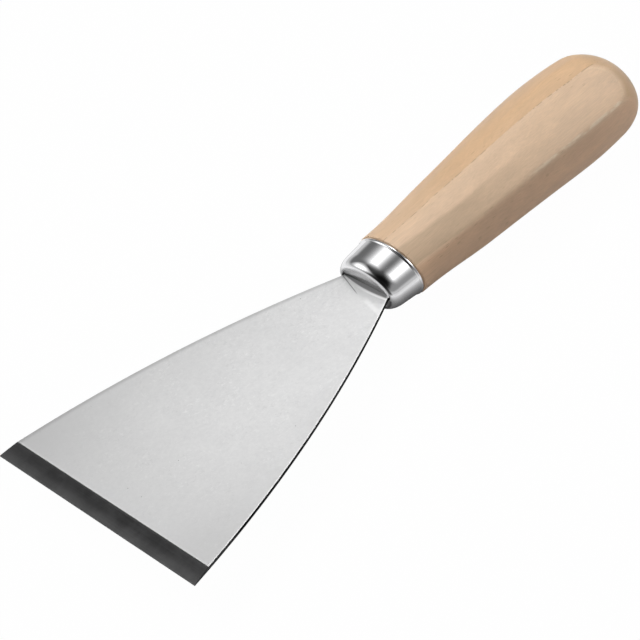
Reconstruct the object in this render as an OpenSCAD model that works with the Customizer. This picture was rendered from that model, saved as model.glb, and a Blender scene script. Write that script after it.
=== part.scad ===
// Putty knife: a bevelled sheet-steel blade whose tang sits in an oval wooden handle,
// with a drawn metal ferrule over the joint.
// +X points to the working edge and +Z out of the bevelled face of the blade.
// The origin is the middle of the tool's overall box.

/* [Blade] */
// Width of the working edge
blade_w = 80; // [50:1:100]
// Length from the mouth of the ferrule to the working edge
blade_len = 99; // [70:1:130]
// Thickness of the steel sheet
sheet_t = 1; // [0.6:0.1:1.6]
// Radius of the bowed sides
side_r = 350; // [250:10:900]
// Width of the neck in the mouth of the ferrule
neck_w = 17.6; // [14:0.2:18]
// Depth of the neck's shoulders behind the mouth
neck_depth = 4.4; // [3.2:0.2:6]
// Length of the ground bevel
bevel_len = 5.4; // [3:0.2:12]
// Thickness left at the working edge
edge_t = 0.3; // [0.2:0.1:0.5]
// Width of the tang at its root
tang_w = 9; // [6:0.5:11]
// Width of the tang near its tip
tang_tip_w = 5; // [3:0.5:6]
// Length of the tang behind the shoulders
tang_len = 46; // [30:1:70]

/* [Ferrule] */
// Length from the rear rim to the mouth
ferrule_len = 10.4; // [9:0.2:14]
// Width over the bead of the rear rim
ferrule_w = 24.6; // [24:0.2:27]
// Height over the bead of the rear rim
ferrule_h = 16.8; // [16:0.2:22]
// Thickness of the drawn wall
wall = 0.7; // [0.4:0.1:0.9]
// Height of the rim's bead above the wall
bead_h = 0.25; // [0.1:0.05:0.4]
// Radius of the rim's bead
bead_r = 0.6; // [0.5:0.05:0.8]
// Radius of the rounded front shoulder
shoulder_r = 2.2; // [1.4:0.1:2.4]
// Width of the flat lip round the mouth
lip_w = 0.3; // [0.2:0.05:0.5]
// Depth of the dish inside the mouth
dish_depth = 1.3; // [0.6:0.1:1.6]
// Slope of the dish's side, in degrees from the tool's axis
dish_slope = 35; // [15:1:45]

/* [Handle] */
// Length of the handle behind the ferrule
handle_len = 91.5; // [80:0.5:130]
// Greatest width, across the side faces
handle_w = 31.6; // [28:0.2:40]
// Greatest thickness, across the top and bottom faces
handle_h = 28.2; // [22:0.2:38]
// How late the width swells, from 1 for at once
swell_w_power = 1.9; // [1:0.1:2.5]
// How late the thickness swells, from 1 for at once
swell_h_power = 2.2; // [1:0.1:2.5]
// Length of the rounded butt
butt_len = 19.8; // [14:0.2:30]
// Fullness of the rounded butt
butt_power = 2.5; // [2:0.05:3.5]
// How far the wood stands out around the ferrule's rim
wood_proud = 0.2; // [0:0.05:0.6]

/* [Faces of the grip] */
// How flat the faces are, from round at 0 to flat at 1
flatness = 0.8; // [0:0.05:0.95]
// Length over which the faces grow out of the round root
face_run = 25; // [10:1:40]
// Angle of the side face's edge above the plane of the blade, at the ferrule
side_edge_root = 34; // [20:1:40]
// Angle of the side face's edge above the plane of the blade, at the butt
side_edge_butt = 23; // [15:1:35]
// Angle of the ridge between the two diagonal faces, at the ferrule
ridge_root = 68; // [50:1:74]
// Angle of the ridge between the two diagonal faces, at the butt
ridge_butt = 51; // [45:1:65]
// Angle of the top face's edge, at the ferrule
top_edge_root = 86; // [78:1:88]
// Angle of the top face's edge, at the butt
top_edge_butt = 79; // [72:1:86]
// How far the ridge fades towards the butt, from 0 for not at all to 1
ridge_fade = 0.7; // [0:0.05:1]

/* [Fits] */
// Clearance of the blade's neck to the slot in the ferrule
neck_play = 0.1; // [0.05:0.05:0.2]
// Clearance of the blade's neck to the lip of the mouth
lip_play = 0.2; // [0.2:0.05:0.4]
// Clearance of the tang to its slot in the handle
tang_play = 0.05; // [0.05:0.05:0.2]
// Clearance of the handle's tenon to the ferrule
tenon_play = 0.1; // [0.05:0.05:0.3]

/* [Hidden] */

// Overrun of a cutting shape past the face that it cuts
over = 1;

// Stations along the tool, from the working edge to the butt
overall_len = blade_len + ferrule_len + handle_len;
edge_x = overall_len / 2;
mouth_x = edge_x - blade_len;
rim_x = mouth_x - ferrule_len;
butt_x = rim_x - handle_len;
seat_x = mouth_x - neck_depth;
tip_x = seat_x - tang_len;
swell_len = handle_len - butt_len;

// Ferrule, as half widths of its oval
wall_r = ferrule_w / 2 - bead_h;
mouth_r = neck_w / 2 + lip_play;
dish_r = mouth_r - dish_depth * tan(dish_slope);
shoulder_c = [mouth_x - shoulder_r, mouth_r + lip_w];
taper = atan((wall_r - shoulder_c.y - shoulder_r) / (ferrule_len - shoulder_r));
oval_drop = (ferrule_w - ferrule_h) / 2;

// Grip, as half width and half thickness at the ferrule and at its fullest
root_w = ferrule_w / 2 + wood_proud;
root_h = ferrule_h / 2 + wood_proud;
full_w = handle_w / 2;
full_h = handle_h / 2;

// Fineness of the lofted forms
oval_points = 48;
bead_steps = 8;
shoulder_steps = 10;
face_steps = 3;
swell_rings = 24;
butt_rings = 14;

// Points on an arc about a centre, by angle
function arc(centre, r, from, to, steps) = [
    for (i = [0 : steps])
        let (a = from + (to - from) * i / steps)
            centre + r * [cos(a), sin(a)]
];

// Centre of the bowed side that runs through two points, on its hollow side
function bow_centre(p, q, r) =
    let (chord = q - p, half = norm(chord) / 2, inward = [chord.y, -chord.x] / norm(chord))
        (p + q) / 2 + inward * sqrt(r * r - half * half);

// Outline of the tang, grown by its clearance
function tang_outline(play) = [
    [seat_x + over, tang_w / 2 + play],
    [seat_x, tang_w / 2 + play],
    [tip_x + tang_tip_w / 2, tang_tip_w / 2 + play],
    [tip_x - play, tang_tip_w / 4 + play],
    [tip_x - play, -tang_tip_w / 4 - play],
    [tip_x + tang_tip_w / 2, -tang_tip_w / 2 - play],
    [seat_x, -tang_w / 2 - play],
    [seat_x + over, -tang_w / 2 - play],
];

// Sheet with bowed sides, its neck and its tang
module blade_outline() {
    bow = bow_centre([mouth_x, neck_w / 2], [edge_x, blade_w / 2], side_r);
    intersection() {
        translate(bow) circle(r = side_r, $fn = 720);
        translate([bow.x, -bow.y]) circle(r = side_r, $fn = 720);
        translate([mouth_x, -blade_w / 2]) square([blade_len, blade_w]);
    }
    translate([seat_x, -neck_w / 2]) square([neck_depth + over, neck_w]);
    polygon(tang_outline(0));
}

// Blade ground on its upper face to a thin straight edge
module blade() {
    color("gainsboro")
    difference() {
        translate([0, 0, -sheet_t / 2]) linear_extrude(sheet_t) blade_outline();
        rotate([90, 0, 0])
            linear_extrude(blade_w + 2 * over, center = true)
                polygon([
                    [edge_x - bevel_len, sheet_t / 2],
                    [edge_x, edge_t - sheet_t / 2],
                    [edge_x + over, edge_t - sheet_t / 2],
                    [edge_x + over, sheet_t / 2 + over],
                    [edge_x - bevel_len, sheet_t / 2 + over],
                ]);
    }
}

// Ring of the ferrule's oval at a station and half width
function oval(p) = [
    for (i = [0 : oval_points - 1])
        let (a = 360 * i / oval_points)
            [p.x, p.y * cos(a), (p.y - oval_drop) * sin(a)]
];

// Point of the ferrule's tapered side at a station, set in by a depth
function side(x, depth) = [x, wall_r - (x - rim_x) * tan(taper) - depth];

// Solid through a row of rings from front to back, flat in front and closed to a point behind
module loft(rings, tip) {
    n = len(rings[0]);
    last = len(rings) - 1;
    front = [for (j = [n - 1 : -1 : 0]) j];
    sides = [
        for (i = [0 : last - 1], j = [0 : n - 1])
            let (k = (j + 1) % n)
                [i * n + j, i * n + k, (i + 1) * n + k, (i + 1) * n + j]
    ];
    back = [
        for (j = [0 : n - 1])
            let (k = (j + 1) % n)
                [last * n + j, last * n + k, len(rings) * n]
    ];
    polyhedron(concat([for (r = rings) each r], [tip]), concat([front], sides, back));
}

// Outside of the ferrule: dished mouth, lip, round shoulder, tapered side and rim bead
module ferrule_outside() {
    bead_c = [rim_x + bead_r, ferrule_w / 2 - bead_r];
    profile = concat(
        [[mouth_x - dish_depth, dish_r], [mouth_x, mouth_r]],
        arc(shoulder_c, shoulder_r, 0, 90 - taper, shoulder_steps),
        arc(bead_c, bead_r, asin(1 - bead_h / bead_r), 180, bead_steps)
    );
    loft([for (p = profile) oval(p)], [rim_x, 0, 0]);
}

// Inside of the ferrule, one wall behind its outside
module ferrule_inside() {
    fold_r = shoulder_r - wall;
    fold_start = asin(min(1, max(0, (wall - lip_w) / fold_r)));
    profile = concat(
        [[mouth_x - dish_depth - wall, dish_r + wall]],
        arc(shoulder_c, fold_r, fold_start, 90 - taper, shoulder_steps),
        [side(rim_x - over, wall)]
    );
    loft([for (p = profile) oval(p)], [rim_x - over, 0, 0]);
}

// Drawn oval cap with a slot through its dished front for the blade's neck
module ferrule() {
    slot_l = dish_depth + wall + 2 * over;
    color("silver")
    difference() {
        ferrule_outside();
        ferrule_inside();
        translate([mouth_x + over - slot_l / 2, 0, 0])
            cube([slot_l, neck_w + 2 * neck_play, sheet_t + 2 * neck_play], center = true);
    }
}

// Smooth step from 0 to 1
function ease(u) = u * u * (3 - 2 * u);

// Angle of a face's edge at a share of the swell
function turn(root, butt, u) = root + (butt - root) * u;

// Angles of the faces' edges in a quarter of the grip, from the plane of the blade to the top
function edges(u) = [
    0,
    turn(side_edge_root, side_edge_butt, u),
    turn(ridge_root, ridge_butt, u),
    turn(top_edge_root, top_edge_butt, u),
    90,
];

// Angles of the points in a quarter of the grip, some on each face
function quarter(u) =
    let (e = edges(u))
        [for (f = [0 : 3], i = [0 : face_steps - 1]) e[f] + (e[f + 1] - e[f]) * i / face_steps];

// Angles of the points all round the grip, the same in each quarter
function angles(u) =
    let (q = quarter(u), n = len(q), back = [for (i = [n - 1 : -1 : 1]) 90 - q[i]])
        concat(
            q,
            [90], [for (a = back) 90 + a],
            [for (a = q) 180 + a],
            [270], [for (a = back) 270 + a]
        );

// Share of the radius that a flat between two angles takes away
function chord_cut(a, from, to) = 1 - cos((to - from) / 2) / cos(a - (from + to) / 2);

// Share that the faces take away at an angle in a quarter of the grip
function face_cut(a, u) =
    let (e = edges(u), fade = ridge_fade * ease(u))
        a <= e[1] ? chord_cut(a, -e[1], e[1])
        : a >= e[3] ? chord_cut(a, e[3], 180 - e[3])
        : chord_cut(a, e[1], e[3]) * fade
            + (a <= e[2] ? chord_cut(a, e[1], e[2]) : chord_cut(a, e[2], e[3])) * (1 - fade);

// Ring of the grip at a station: half sizes across its faces, how flat they are and the limit of its butt
function grip_ring(x, half_w, half_h, u, flat, limit) =
    let (
        corner_w = half_w / (1 - flat * face_cut(0, u)),
        corner_h = half_h / (1 - flat * face_cut(90, u))
    )
        [
            for (a = angles(u))
                let (fold = a % 180, m = min(limit, 1 - flat * face_cut(min(fold, 180 - fold), u)))
                    [x, corner_w * m * cos(a), corner_h * m * sin(a)]
        ];

// Ring of the tenon at a station, one clearance inside the ferrule
function tenon_ring(x) =
    let (p = side(x, wall + tenon_play))
        grip_ring(x, p.y, p.y - oval_drop, 0, 0, 1);

// Ring of the grip's swell at a distance behind the ferrule
function swell_ring(d) =
    let (
        u = d / swell_len,
        w = root_w + (full_w - root_w) * pow(sin(90 * u), swell_w_power),
        h = root_h + (full_h - root_h) * pow(sin(90 * u), swell_h_power)
    )
        grip_ring(rim_x - d, w, h, u, flatness * ease(min(1, d / face_run)), 1);

// Ring of the rounded butt at a share of its length, which ends the faces in a dome
function butt_ring(v) =
    grip_ring(
        rim_x - swell_len - v * butt_len, full_w, full_h, 1, flatness,
        pow(1 - pow(v, butt_power), 1 / butt_power)
    );

// Turned pear-shaped grip with faces cut along it, a tenon for the ferrule and a slot for the tang
module handle() {
    rings = concat(
        [tenon_ring(seat_x), tenon_ring(rim_x)],
        [for (i = [0 : swell_rings]) swell_ring(swell_len * i / swell_rings)],
        [for (i = [1 : butt_rings - 1]) butt_ring(sin(90 * i / butt_rings))]
    );
    color("burlywood")
    difference() {
        loft(rings, [butt_x, 0, 0]);
        translate([0, 0, -sheet_t / 2 - tang_play])
            linear_extrude(sheet_t + 2 * tang_play)
                polygon(tang_outline(tang_play));
    }
}

blade();
ferrule();
handle();
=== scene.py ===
"""Putty knife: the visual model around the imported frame, in metres, in the frame's own axes.

+X runs along the tool to the working edge, +Z stands out of the bevelled face of the blade, and the origin
is the middle of the overall box. Sizes below are in millimetres, and meshes are made in metres.
"""

import logging
import math
from dataclasses import dataclass, field, fields
from enum import Enum
from typing import Any, Callable, Dict, List, Sequence, Tuple, Union

import bmesh
import bpy
from mathutils import Matrix, Vector


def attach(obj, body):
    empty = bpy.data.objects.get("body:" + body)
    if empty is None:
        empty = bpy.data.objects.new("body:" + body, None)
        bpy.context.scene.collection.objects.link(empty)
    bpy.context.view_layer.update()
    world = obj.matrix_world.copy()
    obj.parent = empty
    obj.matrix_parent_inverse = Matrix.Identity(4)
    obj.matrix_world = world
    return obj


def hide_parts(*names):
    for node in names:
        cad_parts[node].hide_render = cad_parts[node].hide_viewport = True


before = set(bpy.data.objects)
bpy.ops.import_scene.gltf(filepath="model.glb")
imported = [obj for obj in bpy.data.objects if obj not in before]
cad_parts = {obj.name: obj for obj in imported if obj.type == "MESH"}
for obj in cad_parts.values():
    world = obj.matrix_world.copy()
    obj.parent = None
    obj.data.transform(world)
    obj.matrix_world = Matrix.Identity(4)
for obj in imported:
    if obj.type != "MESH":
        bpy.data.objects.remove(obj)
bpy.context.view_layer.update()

log = logging.getLogger("putty_knife")

MM = 0.001
BODY = "root"

Point = Tuple[float, float, float]
Pair = Tuple[float, float]
Colour = Tuple[float, float, float]


class Slot(Enum):
    """The record's material slots."""

    STEEL = "steel"
    CHROME = "chrome"
    WOOD = "wood"


class BladeSurface(Enum):
    """The kinds of surface on the blade, in the order of its material slots."""

    SHEET = 0
    BEVEL = 1
    SHEARED = 2


class Reach(Enum):
    """What a lamp lights: everything, all but mirror images, or mirror images alone."""

    ALL = 0
    MATT = 1
    METAL = 2


def math_method(operation: str, swapped: bool = False) -> Callable[["Wire", "Term"], "Wire"]:
    """Makes a method of Wire that is one Math node.

    Args:
        operation: the node's operation.
        swapped: whether the other term comes first.

    Returns:
        The method.
    """

    def method(self: "Wire", other: "Term") -> "Wire":
        """The node's value for this wire and another term."""
        return self.graph.math(operation, *((other, self) if swapped else (self, other)))

    return method


class Wire:
    """A value in a node tree, so that a rule can be written as it is in plain code."""

    __add__ = math_method("ADD")
    __radd__ = __add__
    __sub__ = math_method("SUBTRACT")
    __rsub__ = math_method("SUBTRACT", swapped=True)
    __mul__ = math_method("MULTIPLY")
    __rmul__ = __mul__
    __truediv__ = math_method("DIVIDE")
    __rtruediv__ = math_method("DIVIDE", swapped=True)
    __pow__ = math_method("POWER")
    __lt__ = math_method("LESS_THAN")
    __gt__ = math_method("GREATER_THAN")
    least = math_method("MINIMUM")
    most = math_method("MAXIMUM")

    def __init__(self, graph: "Graph", socket: bpy.types.NodeSocket) -> None:
        """Holds a socket and the graph that it belongs to."""
        self.graph = graph
        self.socket = socket

    def unsigned(self) -> "Wire":
        """This without its sign."""
        return self.graph.math("ABSOLUTE", self)

    def root(self) -> "Wire":
        """The square root of this."""
        return self.graph.math("SQRT", self)

    def clamped(self) -> "Wire":
        """This held between 0 and 1."""
        return self.least(1.0).most(0.0)

    def eased(self) -> "Wire":
        """This, from 0 to 1, with a soft start and end."""
        return self * self * (3.0 - 2.0 * self)

    def choose(self, yes: "Term", no: "Term") -> "Wire":
        """One of two values, by this as a mask: yes where it is 1 and no where it is 0."""
        return self * yes + (1.0 - self) * no


Term = Union[Wire, float]


class Graph:
    """A node tree with short calls for the nodes that this knife needs."""

    def __init__(self, tree: bpy.types.NodeTree) -> None:
        """Starts on a tree with nothing in it."""
        self.tree = tree
        tree.nodes.clear()

    def add(self, kind: str, **settings: Any) -> bpy.types.Node:
        """Adds a node.

        Args:
            kind: the node's type name.
            settings: the node's own properties.

        Returns:
            The node.
        """
        node = self.tree.nodes.new(kind)
        for name, value in settings.items():
            setattr(node, name, value)
        return node

    def feed(self, target: bpy.types.NodeSocket, value: Any) -> None:
        """Links a wire or a socket to a socket, or sets a plain value on it.

        Args:
            target: the socket that is fed.
            value: the wire, the socket, the plain value or the colour.
        """
        if isinstance(value, Wire):
            value = value.socket
        if isinstance(value, bpy.types.NodeSocket):
            self.tree.links.new(value, target)
        elif target.type == "RGBA":
            target.default_value = (*value, 1.0)
        else:
            target.default_value = value

    def wire(self, socket: bpy.types.NodeSocket) -> Wire:
        """A wire on an output socket."""
        return Wire(self, socket)

    def math(self, operation: str, *terms: Term) -> Wire:
        """A Math node.

        Args:
            operation: what it does.
            terms: its one to three terms.

        Returns:
            The node's value.
        """
        node = self.add("ShaderNodeMath", operation=operation)
        for target, term in zip(node.inputs, terms):
            self.feed(target, term)
        return self.wire(node.outputs[0])

    def cos(self, degrees: Term) -> Wire:
        """Cosine of an angle in degrees."""
        return self.math("COSINE", self.math("RADIANS", degrees))

    def sin(self, degrees: Term) -> Wire:
        """Sine of an angle in degrees."""
        return self.math("SINE", self.math("RADIANS", degrees))

    def split(self, vector: Any) -> List[Wire]:
        """Takes a vector apart.

        Args:
            vector: the vector.

        Returns:
            Its three parts.
        """
        node = self.add("ShaderNodeSeparateXYZ")
        self.feed(node.inputs[0], vector)
        return [self.wire(output) for output in node.outputs]

    def join(self, *parts: Term) -> Wire:
        """Makes a vector.

        Args:
            parts: its three parts.

        Returns:
            The vector.
        """
        node = self.add("ShaderNodeCombineXYZ")
        for target, value in zip(node.inputs, parts):
            self.feed(target, value)
        return self.wire(node.outputs[0])

    def mapped(
        self,
        vector: Any,
        scale: Point = (1.0, 1.0, 1.0),
        turn: Point = (0.0, 0.0, 0.0),
        shift: Point = (0.0, 0.0, 0.0),
    ) -> Wire:
        """A vector through a Mapping node.

        Args:
            vector: the vector.
            scale: its scale on each axis.
            turn: its turn about each axis, in degrees.
            shift: its shift along each axis.

        Returns:
            The mapped vector.
        """
        node = self.add("ShaderNodeMapping")
        self.feed(node.inputs["Vector"], vector)
        node.inputs["Location"].default_value = shift
        node.inputs["Rotation"].default_value = [math.radians(angle) for angle in turn]
        node.inputs["Scale"].default_value = scale
        return self.wire(node.outputs[0])

    def noise(
        self, vector: Any, scale: Term, detail: float = 2.0, roughness: float = 0.5, warp: float = 0.0
    ) -> Wire:
        """The value of a Noise Texture.

        Args:
            vector: where it is read.
            scale: its scale.
            detail: its octaves.
            roughness: the share of each finer octave.
            warp: its distortion.

        Returns:
            A value around one half.
        """
        node = self.add("ShaderNodeTexNoise")
        self.feed(node.inputs["Vector"], vector)
        self.feed(node.inputs["Scale"], scale)
        node.inputs["Detail"].default_value = detail
        node.inputs["Roughness"].default_value = roughness
        node.inputs["Distortion"].default_value = warp
        return self.wire(node.outputs[0])

    def span(self, value: Term, low: Term, high: Term, start: Term = 0.0, end: Term = 1.0) -> Wire:
        """A value from one range brought to another with soft ends.

        Args:
            value: the value.
            low: where the range starts.
            high: where the range ends.
            start: the result at low and below.
            end: the result at high and above.

        Returns:
            The new value.
        """
        node = self.add("ShaderNodeMapRange", interpolation_type="SMOOTHSTEP")
        for target, term in zip(node.inputs, (value, low, high, start, end)):
            self.feed(target, term)
        return self.wire(node.outputs[0])

    def fade(self, value: Term, low: Term, high: Term) -> Wire:
        """A mask that is 1 at low and below, and falls softly to 0 at high."""
        return self.span(value, low, high, 1.0, 0.0)

    def blend(self, share: Any, first: Any, second: Any, how: str = "MIX") -> Wire:
        """Two colours mixed.

        Args:
            share: how much of the second colour.
            first: the first colour.
            second: the second colour.
            how: the way they mix.

        Returns:
            The mixed colour.
        """
        node = self.add("ShaderNodeMix", data_type="RGBA", blend_type=how)
        self.feed(node.inputs[0], share)
        self.feed(node.inputs[6], first)
        self.feed(node.inputs[7], second)
        return self.wire(node.outputs[2])

    def group(self, tree: bpy.types.NodeTree, **values: Any) -> Dict[str, Wire]:
        """Places a shader node group.

        Args:
            tree: the group's tree.
            values: its inputs by name.

        Returns:
            Its outputs by name.
        """
        node = self.add("ShaderNodeGroup", node_tree=tree)
        for name, value in values.items():
            self.feed(node.inputs[name], value)
        return {output.name: self.wire(output) for output in node.outputs}

    def layer(self, share: Term, under: bpy.types.Node, over: bpy.types.Node) -> bpy.types.NodeSocket:
        """Mixes two shaders.

        Args:
            share: how much of the second shader.
            under: the first shader.
            over: the second shader.

        Returns:
            The mixed shader.
        """
        node = self.add("ShaderNodeMixShader")
        for target, value in zip(node.inputs, (share, under.outputs[0], over.outputs[0])):
            self.feed(target, value)
        return node.outputs[0]

    def shaped(
        self, shape: bpy.types.NodeSocket, kind: str, values: Dict[str, Any], **settings: Any
    ) -> bpy.types.NodeSocket:
        """Puts a shape through a node of a Geometry Nodes tree.

        Args:
            shape: the shape that goes in.
            kind: the node's type name.
            values: its other inputs by name.
            settings: the node's own properties.

        Returns:
            The shape that comes out.
        """
        node = self.add(kind, **settings)
        self.feed(node.inputs["Geometry"], shape)
        for name, value in values.items():
            self.feed(live(node.inputs, name), value)
        return node.outputs["Geometry"]


def live(sockets: Sequence[bpy.types.NodeSocket], name: str) -> bpy.types.NodeSocket:
    """The socket of a name that is in use, out of several that may share the name."""
    return next(socket for socket in sockets if socket.enabled and socket.name == name)


def new_material(name: str) -> Tuple[bpy.types.Material, Graph, bpy.types.NodeSocket]:
    """Starts a material.

    Args:
        name: its name.

    Returns:
        The material, its tree and the socket for its surface.
    """
    material = bpy.data.materials.new(name)
    material.use_nodes = True
    graph = Graph(material.node_tree)
    return material, graph, graph.add("ShaderNodeOutputMaterial").inputs["Surface"]


class Effects:
    """The effects that more than one finish uses, each a shader node group that is built once."""

    FINE_SCALE = 5.0
    FINE_SHARE = 0.3
    CLOUD_RANGE = (0.34, 0.66)
    SCRATCH_EDGE = 0.06
    SPECK_CORE = 0.5

    def __init__(self) -> None:
        """Builds the groups."""
        self.mottle = self._mottle()
        self.scratches = self._scratches()
        self.specks = self._specks()

    @staticmethod
    def _open(name: str, inputs: Dict[str, float], outputs: Sequence[str]) -> Tuple[Graph, Any, Any]:
        """Starts a group with its sockets, of which the first is always Vector.

        Args:
            name: the group's name.
            inputs: the other inputs, which are all plain values, with their defaults.
            outputs: the names of the outputs, which are all plain values.

        Returns:
            The graph, its input node and its output node.
        """
        tree = bpy.data.node_groups.new(name, "ShaderNodeTree")
        tree.interface.new_socket(name="Vector", in_out="INPUT", socket_type="NodeSocketVector")
        for label, value in inputs.items():
            socket = tree.interface.new_socket(name=label, in_out="INPUT", socket_type="NodeSocketFloat")
            socket.default_value = value
        for label in outputs:
            tree.interface.new_socket(name=label, in_out="OUTPUT", socket_type="NodeSocketFloat")
        graph = Graph(tree)
        return graph, graph.add("NodeGroupInput"), graph.add("NodeGroupOutput")

    def _mottle(self) -> bpy.types.NodeTree:
        """Soft clouds with a finer cloud in them, from Low to High.

        Returns:
            The group's tree.
        """
        inputs = {"Scale": 0.1, "Low": 0.0, "High": 1.0}
        graph, given, made = self._open("mottle", inputs, ("Value",))
        vector = given.outputs["Vector"]
        scale = graph.wire(given.outputs["Scale"])
        broad = graph.noise(vector, scale, detail=3.0, roughness=0.55, warp=0.4)
        fine = graph.noise(vector, scale * self.FINE_SCALE, detail=2.0, roughness=0.6)
        both = (1.0 - self.FINE_SHARE) * broad + self.FINE_SHARE * fine
        value = graph.span(both, *self.CLOUD_RANGE, given.outputs["Low"], given.outputs["High"])
        graph.feed(made.inputs["Value"], value)
        return graph.tree

    def _scratches(self) -> bpy.types.NodeTree:
        """Fine lines that run along X of the given vector: a mask of the few deep ones, and all of them.

        Returns:
            The group's tree.
        """
        inputs = {"Across": 6.0, "Along": 0.05, "Few": 0.7}
        graph, given, made = self._open("scratches", inputs, ("Mask", "Lines"))
        x, y, z = graph.split(given.outputs["Vector"])
        along, across, few = [graph.wire(given.outputs[name]) for name in ("Along", "Across", "Few")]
        drawn = graph.join(x * along, y * across, z * across)
        lines = graph.noise(drawn, 1.0, detail=3.0, roughness=0.65)
        graph.feed(made.inputs["Mask"], graph.span(lines, few, few + self.SCRATCH_EDGE))
        graph.feed(made.inputs["Lines"], lines)
        return graph.tree

    def _specks(self) -> bpy.types.NodeTree:
        """Small pits, or dashes where the vector is drawn out, from cells with a spot in a few of them.

        Returns:
            The group's tree.
        """
        inputs = {"Size": 0.2, "Share": 0.1}
        graph, given, made = self._open("specks", inputs, ("Mask",))
        cells = graph.add("ShaderNodeTexVoronoi", feature="F1", voronoi_dimensions="3D")
        graph.feed(cells.inputs["Vector"], given.outputs["Vector"])
        cells.inputs["Scale"].default_value = 1.0
        size = graph.wire(given.outputs["Size"])
        spot = graph.fade(cells.outputs["Distance"], size * self.SPECK_CORE, size)
        chance = graph.split(cells.outputs["Color"])[0]
        graph.feed(made.inputs["Mask"], spot * (chance < graph.wire(given.outputs["Share"])))
        return graph.tree


class Coat:
    """A material that is being made, with its shader and the object's own millimetres."""

    def __init__(self, name: str) -> None:
        """Makes the material, its Principled shader and its coordinates in millimetres.

        Args:
            name: the material's name.
        """
        self.material, self.graph, surface = new_material(name)
        self.shader = self.graph.add("ShaderNodeBsdfPrincipled")
        self.graph.feed(surface, self.shader.outputs["BSDF"])
        place = self.graph.add("ShaderNodeTexCoord")
        self.where = self.graph.mapped(place.outputs["Object"], (1.0 / MM, 1.0 / MM, 1.0 / MM))

    def plain(self, **values: Any) -> None:
        """Sets or links the shader's sockets, by name with an underscore for a space."""
        for name, value in values.items():
            self.graph.feed(self.shader.inputs[name.replace("_", " ")], value)

    def bump(self, height: Wire, depth: float, strength: float) -> None:
        """Feeds the shader's normal with a bump.

        Args:
            height: the height, from 0 to 1.
            depth: what a height of 1 is, in millimetres.
            strength: the bump's strength.
        """
        node = self.graph.add("ShaderNodeBump")
        node.inputs["Strength"].default_value = strength
        node.inputs["Distance"].default_value = depth * MM
        self.graph.feed(node.inputs["Height"], height)
        self.graph.feed(self.shader.inputs["Normal"], node.outputs["Normal"])

    def grain(self, scale: Point, shift: Point = (0.0, 0.0, 0.0), **settings: float) -> Wire:
        """Noise over the piece, drawn out along its axes, with the settings of a Noise Texture."""
        return self.graph.noise(self.graph.mapped(self.where, scale, shift=shift), 1.0, **settings)


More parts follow.
